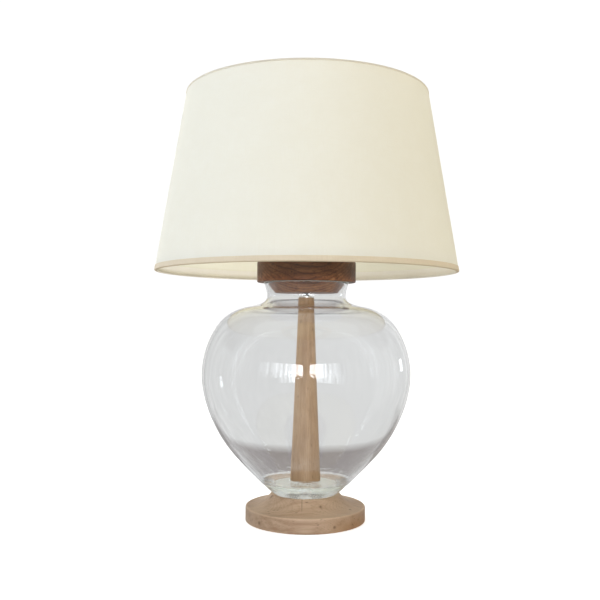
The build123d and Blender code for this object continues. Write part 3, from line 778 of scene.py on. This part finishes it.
def shade_layer(name, depth, thickness, material, stands_for, slot, amount, seed):
    ups = np.linspace(TRIM_T, SHADE_SLANT - TRIM_T, 48)
    outline = [wall_point(depth, up) for up in ups]
    outline += [wall_point(depth + thickness, up) for up in ups[::-1]]
    shape = lathe(outline, 240, uneven(amount, 0.35, seed))
    return piece(name, *shape, "shade", material, [stands_for], slot, radians(60))


def faces_out(face):
    """Above 0 for a face that looks away from the lamp's axis, below 0 for one that looks towards it."""
    place = face.center.xy
    return face.normal.xy.dot(place) / place.length


def tape_loop(name, place, outer_leg, stands_for):
    """Edge tape folded over the wire ring: outer leg, round bead, inner leg."""
    deep = WIRE_DEPTH + 2 * RING_WIRE_R + 0.1 * MM
    knee, landing, mitre = 3.6 * MM, 8.0 * MM, 0.3 * MM
    corners = [
        (0.0, 0.0, 1.4 * MM), (0.0, outer_leg, 0.2 * MM), (TRIM_T, outer_leg), (TRIM_T, TRIM_T, 0.9 * MM),
        (deep, TRIM_T, 1.2 * MM), (deep, knee, 0.8 * MM), (WIRE_DEPTH, landing),
        (WIRE_DEPTH, TAPE_INSIDE), (WIRE_DEPTH + TRIM_T, TAPE_INSIDE, 0.2 * MM),
        (WIRE_DEPTH + TRIM_T, landing + mitre), (deep + TRIM_T, knee + mitre, 1.2 * MM),
        (deep + TRIM_T, 0.0, 1.4 * MM)]
    outline = [place(*point) for point in rounded(corners, radians(20))]
    made = piece(name, *lathe(outline, 240), "shade", tape, [stands_for], "shade_tape", radians(40))
    made.data.materials.append(tape_inside)
    for face in made.data.polygons:
        if faces_out(face) < -0.3:
            face.material_index = 1
    return made


shade_cotton = shade_layer("shade_cotton", TRIM_T, FABRIC_T, fabric, "shade_fabric", "shade_cloth",
                           0.18 * MM, 3)
shade_inside = shade_layer("shade_inside", LINER_DEPTH, LINER_T, lining, "shade_liner", "shade_lining",
                           0.0, 5)
shade_inside.data.materials.append(lining_back)
for wall_face in shade_inside.data.polygons:
    if faces_out(wall_face) > 0 or wall_face.center.z < SHADE_FOOT[1] + TAPE_INSIDE:
        wall_face.material_index = 1
bottom_tape = tape_loop("bottom_tape", wall_point, BOTTOM_TAPE, "bottom_trim")
top_tape = tape_loop("top_tape", from_head, TOP_TAPE, "top_trim")


def lapped_seam():
    """Strip at the rear where the fabric laps over itself, its long edges rolled down."""
    half, under, gap = SEAM_WIDTH / 2, TRIM_T + 0.1 * MM, 0.4 * MM
    rolled = [(half - 1.4 * MM, 0.0), (half - 0.5 * MM, 0.1 * MM), (half, 0.45 * MM)]
    across = [(-sideways, depth) for sideways, depth in reversed(rolled)]
    across += [*rolled, (half, under), (-half, under)]
    ups = np.linspace(BOTTOM_TAPE + gap, SHADE_SLANT - TOP_TAPE - gap, 60)
    vertices, faces = [], []
    for up in ups:
        for sideways, depth in across:
            radius, height = wall_point(depth, up)
            angle = pi / 2 + sideways / radius
            vertices.append((radius * cos(angle), radius * sin(angle), height))
    width = len(across)
    for row in range(len(ups) - 1):
        for column in range(width):
            a, b = row * width + column, row * width + (column + 1) % width
            faces.append((a, a + width, b + width, b))
    faces.append(tuple(range(width)))
    faces.append(tuple(len(vertices) - width + column for column in reversed(range(width))))
    return piece("back_seam", vertices, faces, "shade", fabric, ["shade_seam"], "shade_cloth", radians(50))


back_seam = lapped_seam()


# ---- bulb ----------------------------------------------------------------------------------
def bulb_globe():
    centre_z, radius, glass = 564 * MM, BULB_HIGH.x, 0.8 * MM
    foot, neck = BULB_LOW.z, 12.7 * MM
    cheek = [(neck, 515 * MM), (17.6 * MM, 531 * MM), (25.8 * MM, 548 * MM), (radius, centre_z)]
    side = smooth_curve(cheek, (0, 1), (0, 1), 40)
    dome = [(radius * cos(a), centre_z + radius * sin(a)) for a in np.linspace(0.06, pi / 2, 26)]
    outer = [(neck, foot), *map(tuple, side), *dome[:-1], (0.0, centre_z + radius)]
    inner = inset(np.array(outer), glass)
    inner[0, 1] = foot
    inner[-1] = (0.0, centre_z + radius - glass)
    outline = outer + [tuple(point) for point in inner[::-1]]
    return piece("bulb_glass_globe", *lathe(outline, 128), "bulb", bulb_glass, ["bulb_globe"], "bulb_glass")


bulb_globe()

# ---- materials of the pieces that CAD already shaped ----------------------------------------
felt = plastic("felt", linear(74, 66, 58), linear(62, 55, 48), 0.95, 300, 0.3 * MM, Sheen_Weight=0.4)
# The gaskets' frost share glows like the vase's ground underside: painted light.
gasket = clear_glass("clear_silicone", linear(240, 241, 238), linear(238, 239, 236), 1.41, 0.35, frost=0.35)
steel = metal("zinc_steel", linear(176, 176, 172), linear(140, 140, 137), 0.32)
dark_steel = metal("tube_steel", linear(140, 140, 138), linear(96, 96, 95), 0.30)
nickel = metal("nickel", linear(206, 204, 198), linear(180, 177, 170), 0.20)
# A lighter copy of the nickel for the stem nut: a painted highlight, for the bright ring of light on it.
lit_nickel = metal("lit_nickel", linear(250, 249, 246), linear(240, 238, 233), 0.38)
black = plastic("black_plastic", linear(30, 30, 31), linear(40, 40, 41), 0.42)
ceramic = plastic("steatite", linear(226, 222, 212), linear(212, 207, 196), 0.5, 260, 0.04 * MM)
brass = metal("brass", linear(206, 170, 96), linear(176, 138, 74), 0.28)
cap_metal = metal("bulb_cap_metal", linear(198, 198, 194), linear(168, 168, 163), 0.30)
vitrite = plastic("vitrite", linear(22, 20, 24), linear(34, 30, 36), 0.12)
phosphor = plastic("filament", linear(244, 196, 74), linear(232, 178, 58), 0.6, 900, 0.03 * MM)
lead = metal("lead_wire", linear(170, 150, 130), linear(150, 128, 108), 0.35)
board = plastic("driver_board", linear(58, 108, 74), linear(50, 94, 64), 0.55)
white_wire = plastic("white_wire", linear(238, 237, 230), linear(224, 222, 212), 0.36)

FINISHES = {
    felt: ["base_felt"],
    black: ["cord_bush", "holder_cap", "holder_body", "lower_clamp_ring", "upper_clamp_ring", "switch_bar"],
    steel: ["base_washer", "base_nut", "holder_grub_screw", "terminal_screws"],
    gasket: ["foot_gasket", "stem_gasket", "neck_gasket"],
    lit_nickel: ["stem_nut"],
    dark_steel: ["threaded_tube"],
    nickel: ["cap_washer", "cap_nut", "riser_sleeve",
             "carrier_foot_ring", "carrier_arms", "carrier_top_ring"],
    ceramic: ["holder_insert"],
    brass: ["centre_contact", "screw_shell"],
    cap_metal: ["bulb_cap", "bulb_contact"],
    vitrite: ["bulb_insulator"],
    board: ["bulb_driver"],
    phosphor: ["bulb_filaments"],
    lead: ["bulb_wires"],
    bulb_glass: ["bulb_stem"],
    white_wire: ["shade_bottom_ring", "shade_top_ring", "shade_inner_ring", "shade_spokes"],
}
for finish, names in FINISHES.items():
    for name in names:
        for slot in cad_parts[name].material_slots:
            slot.material = finish


# ---- stage: floor, room, windows, lights, camera --------------------------------------------
DAYLIGHT = linear(246, 250, 255)
AMBIENT_LOW = (0.60, 0.58, 0.54, 1), (0.50, 0.46, 0.38, 1)      # from the left, from the right
AMBIENT_HIGH = (0.43, 0.47, 0.48, 1), (0.50, 0.47, 0.36, 1)


def flat_panel(name, material, corners):
    mesh = bpy.data.meshes.new(name)
    mesh.from_pydata(corners, [], [tuple(range(len(corners)))])
    mesh.materials.append(material)
    made = bpy.data.objects.new(name, mesh)
    bpy.context.scene.collection.objects.link(made)
    return made


def seen_by(thing, camera=False, diffuse=False, glossy=False, transmission=False, shadow=False):
    thing.visible_camera = camera
    thing.visible_diffuse = diffuse
    thing.visible_glossy = glossy
    thing.visible_transmission = transmission
    thing.visible_shadow = shadow


def glow(name, colour, strength):
    paint = Paint(name)
    return paint.show_only(paint.emission(colour, strength))


def curtained(name, colour, strength, clear_to, fades_to):
    """Daylight with a curtain: full strength up to one azimuth from the front, then in soft folds that get
    fainter up to the other; the sill is ragged with plants. Azimuths in degrees."""
    paint = Paint(name)
    angle, _, z = paint.polar()
    aside = paint.math("ABSOLUTE", paint.math("ADD", angle, pi / 2))
    bare = paint.range(aside, radians(clear_to * 0.6), radians(clear_to * 1.3), 1.0, 0.0)
    sheer = paint.range(aside, radians(clear_to), radians(fades_to), 0.58, 0.05)
    folds = paint.range(paint.noise(paint.vector(aside, 0.0, 0.0), 16, 3, 0.75), 0.40, 0.60, 0.15, 1.5)
    share = paint.math("ADD", bare, paint.math("MULTIPLY", sheer, folds))
    light = paint.emission(colour, paint.math("MULTIPLY", share, strength))
    plants = paint.noise(paint.vector(angle, 0.0, paint.math("MULTIPLY", z, 0.35)), 22, 3, 0.7)
    sill = paint.math("ADD", z, paint.range(plants, 0.44, 0.56, 0.14, -0.20))
    shown = paint.range(sill, 0.30, 0.33, 0.0, 1.0)
    return paint.show_only(paint.blend(shown, paint.clear(WHITE), light))


def window(name, left, right, low, high, distance, material):
    """Upright panel seen only in glass and reflections, between two azimuths from the front and two
    elevations, in degrees, seen from the middle of the vase."""
    middle = radians(left + right) / 2
    half = radians(right - left) / 2
    eye = Vector((0, 0, 0.25))
    ahead = Vector((sin(middle), -cos(middle), 0)) * distance
    aside = Vector((cos(middle), sin(middle), 0)) * distance * tan(half)
    bottom, top = (Vector((0, 0, distance * tan(radians(angle)))) for angle in (low, high))
    panel = flat_panel(name, material, [eye + ahead - aside + bottom, eye + ahead + aside + bottom,
                                        eye + ahead + aside + top, eye + ahead - aside + top])
    seen_by(panel, glossy=True, transmission=True)
    return panel


def floor():
    """Plain pale floor that only the camera sees, bright enough to show no shadow."""
    paint = Paint("floor")
    grain = paint.noise(paint.where, 30, 3)
    colour = paint.mix(grain, linear(246, 246, 246), linear(250, 250, 250))
    paint.finish(colour, 0.9, paint.bump(grain, 0.2 * MM, 0.2), Specular_IOR_Level=0.0,
                 Emission_Color=WHITE, Emission_Strength=0.72)
    reach = 400.0
    corners = [(-reach, -reach, 0), (reach, -reach, 0), (reach, reach, 0), (-reach, reach, 0)]
    seen_by(flat_panel("floor", paint.material, corners), camera=True)


def shade_card(name, aside, tint):
    """Upright card beside the foot that only dims the light from that side."""
    paint = Paint(name)
    high, front, rear = 0.17, -0.30, 0.20
    corners = [(aside, front, 0.0), (aside, rear, 0.0), (aside, rear, high), (aside, front, high)]
    card = flat_panel(name, paint.show_only(paint.clear(tint)), corners)
    seen_by(card, diffuse=True, shadow=True)


def far_table():
    """Dark table behind the lamp that shows only through the glass; its far edge is out of focus."""
    near, far, soft, half, above_floor = 0.25, 0.74, 0.13, radians(62), 0.002
    paint = Paint("far_table")
    radius = paint.polar()[1]
    board = paint.mix(paint.noise(paint.where, 22, 4, 0.6), linear(132, 124, 124), linear(144, 136, 135))
    edge = paint.range(radius, far - soft, far, 0.0, 1.0)
    paint.show_only(paint.emission(paint.mix(edge, board, linear(216, 216, 216)), 1.0))
    angles = [pi / 2 + half * (number / 20 - 1) for number in range(41)]
    corners = [(far * cos(a), far * sin(a), above_floor) for a in angles]
    corners += [(near * cos(a), near * sin(a), above_floor) for a in reversed(angles)]
    seen_by(flat_panel("far_table", paint.material, corners), transmission=True)


def background(sky, colour, strength):
    made = sky.node("ShaderNodeBackground")
    sky.put(made.inputs["Color"], colour)
    sky.put(made.inputs["Strength"], strength)
    return made.outputs[0]


def mirrored_room(sky, x, y, z):
    """What shiny things see: grey in soft upright stripes, lighter behind, dim low on the right."""
    folds = sky.noise(sky.stretched((1, 1, 0.25)), 3.5, 2, 0.5)
    frames = sky.noise(sky.stretched((1, 1, 0.02)), 9, 4, 0.65)
    grey = sky.range(sky.math("MULTIPLY_ADD", y, 0.20, folds), 0.15, 0.85, 0.34, 0.80)
    striped = sky.math("MULTIPLY", grey, sky.range(frames, 0.40, 0.68, 0.75, 1.9))
    low_right = sky.math("MULTIPLY", sky.range(x, 0.0, 0.5, 0.0, 1.0), sky.range(z, -0.5, 0.0, 1.0, 0.0))
    return background(sky, sky.mix(low_right, WHITE, (0.42, 0.37, 0.31, 1)), striped)


def room():
    """White to the camera; softer greys for what the glass shows, what shines, and the ambient light."""
    world = bpy.data.worlds.new("room")
    bpy.context.scene.world = world
    world.use_nodes = True
    world.node_tree.nodes.clear()
    sky = Nodes(world.node_tree, "Generated")
    x, y, z = sky.axes()
    sideways, upwards = sky.range(x, -1, 1, 0, 1), sky.range(z, -1, 1, 0, 1)
    low, high = (sky.mix(sideways, *pair) for pair in (AMBIENT_LOW, AMBIENT_HIGH))
    ambient = background(sky, sky.mix(upwards, low, high), 1.0)
    behind = background(sky, WHITE, sky.range(x, -0.4, 0.4, 0.63, 0.79))
    rays = sky.rays()
    seen = sky.blend(rays["Is Glossy Ray"], ambient, mirrored_room(sky, x, y, z))
    seen = sky.blend(rays["Is Transmission Ray"], seen, behind)
    seen = sky.blend(rays["Is Camera Ray"], seen, background(sky, WHITE, 1.05))
    sky.put(sky.node("ShaderNodeOutputWorld").inputs["Surface"], seen)


def soft_light(name, place, size, power, colour, target=(0, 0, 0.4)):
    data = bpy.data.lights.new(name, "AREA")
    data.shape = "DISK"
    data.size = size
    data.energy = power
    data.color = colour
    lamp = bpy.data.objects.new(name, data)
    lamp.location = place
    lamp.rotation_euler = (Vector(target) - Vector(place)).to_track_quat("-Z", "Y").to_euler()
    lamp.visible_glossy = False
    lamp.visible_transmission = False
    bpy.context.scene.collection.objects.link(lamp)


def camera():
    """Camera fitted to the photograph: a little below the vase's shoulder, nearly horizontal."""
    lens, distance, height = 47.295, 1.312, 0.3242
    yaw, pitch, roll = 0.008, 0.0294, 0.0056
    data = bpy.data.cameras.new("camera")
    data.lens = lens
    data.sensor_width = 36
    data.clip_start, data.clip_end = 0.05, 60
    eye = bpy.data.objects.new("camera", data)
    aim = Matrix.Rotation(yaw, 4, "Z") @ Matrix.Rotation(pi / 2 + pitch, 4, "X")
    turn = aim @ Matrix.Rotation(roll, 4, "Z")
    eye.matrix_world = Matrix.Translation((0, -distance, height)) @ turn
    bpy.context.scene.collection.objects.link(eye)
    bpy.context.scene.camera = eye


floor()
far_table()
room()
window("window_left", -54, -3, -0.6, 17, 2.8, curtained("curtained_left", DAYLIGHT, 10.0, 11, 54))
window("window_right", 4, 42, -0.6, 17, 2.8, curtained("curtained_right", DAYLIGHT, 9.0, 15, 42))
window("window_rear", 122, 127, 0, 7, 3.0, glow("daylight", DAYLIGHT, 5.0))
shade_card("card_left", -0.26, (0.15, 0.15, 0.14, 1))
shade_card("card_right", 0.26, (0.15, 0.10, 0.06, 1))
soft_light("front_light", (-0.1, -2.8, 0.75), 1.3, 17, (0.90, 0.96, 1.12))
soft_light("left_light", (-2.6, -1.6, 1.3), 1.6, 37, (0.86, 0.98, 1.18))
soft_light("right_light", (2.6, -1.2, 1.2), 1.6, 22, (1.0, 0.97, 0.87))
soft_light("rear_light", (-1.7, 2.1, 0.62), 1.2, 38, (0.96, 1.0, 1.06), (0, 0, 0.55))
camera()
bpy.context.scene.view_settings.view_transform = "Standard"
